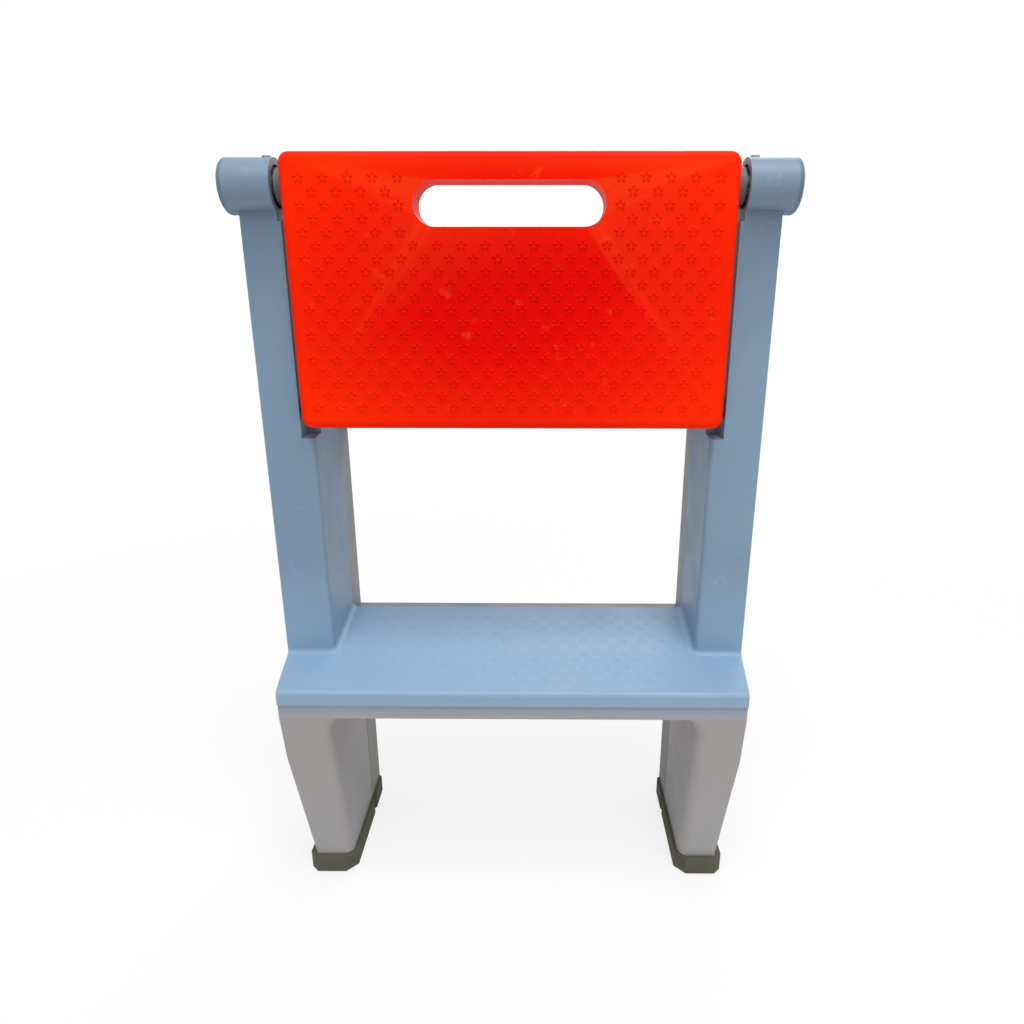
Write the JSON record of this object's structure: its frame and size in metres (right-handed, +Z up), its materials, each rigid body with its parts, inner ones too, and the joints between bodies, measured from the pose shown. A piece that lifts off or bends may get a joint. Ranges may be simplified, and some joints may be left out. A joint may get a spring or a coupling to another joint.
{
  "type": "folding step stool",
  "caption": "Folding step stool chair with a moulded front frame and step, a rear frame that swings back and a slotted seat panel that folds down",
  "frame": {"origin": "on the floor, in the middle of the folded stool's footprint", "axes": "X across the stool, Y from front to back, Z up"},
  "size_m": [0.418, 0.156, 0.621],
  "materials": {
    "frame_plastic": "satin moulded",
    "rear_plastic": "satin moulded",
    "seat_plastic": "satin moulded",
    "bush_plastic": "smooth",
    "boot_rubber": "matt",
    "pad_rubber": "matt",
    "pin_steel": "ground",
    "screw_steel": "zinc plated"
  },
  "bodies": {
    "front": {"front_frame": "frame_plastic", "front_boot_left": "boot_rubber", "front_boot_right": "boot_rubber", "knuckle_cap_left": "frame_plastic", "knuckle_cap_right": "frame_plastic", "hinge_bush_left": "bush_plastic", "hinge_bush_right": "bush_plastic", "bush_screw_left": "screw_steel", "bush_screw_right": "screw_steel", "seat_pivot_bush_left": "bush_plastic", "seat_pivot_bush_right": "bush_plastic"},
    "rear": {"rear_frame": "rear_plastic", "rear_boot_left": "boot_rubber", "rear_boot_right": "boot_rubber", "hinge_pin_left": "pin_steel", "hinge_pin_right": "pin_steel", "seat_rest_pad_left": "pad_rubber", "seat_rest_pad_right": "pad_rubber"},
    "seat": {"seat_panel": "seat_plastic", "seat_pivot_pin_left": "pin_steel", "seat_pivot_pin_right": "pin_steel"}
  },
  "joints": [
    {"name": "rear_frame_spread", "type": "hinge", "parent": "front", "child": "rear", "pos_m": [0, -0.018, 0.6], "axis": [1, 0, 0], "range_deg": [0, 23]},
    {"name": "seat_fold", "type": "hinge", "parent": "front", "child": "seat", "pos_m": [0, -0.017, 0.438], "axis": [-1, 0, 0], "range_deg": [0, 76.5]}
  ]
}
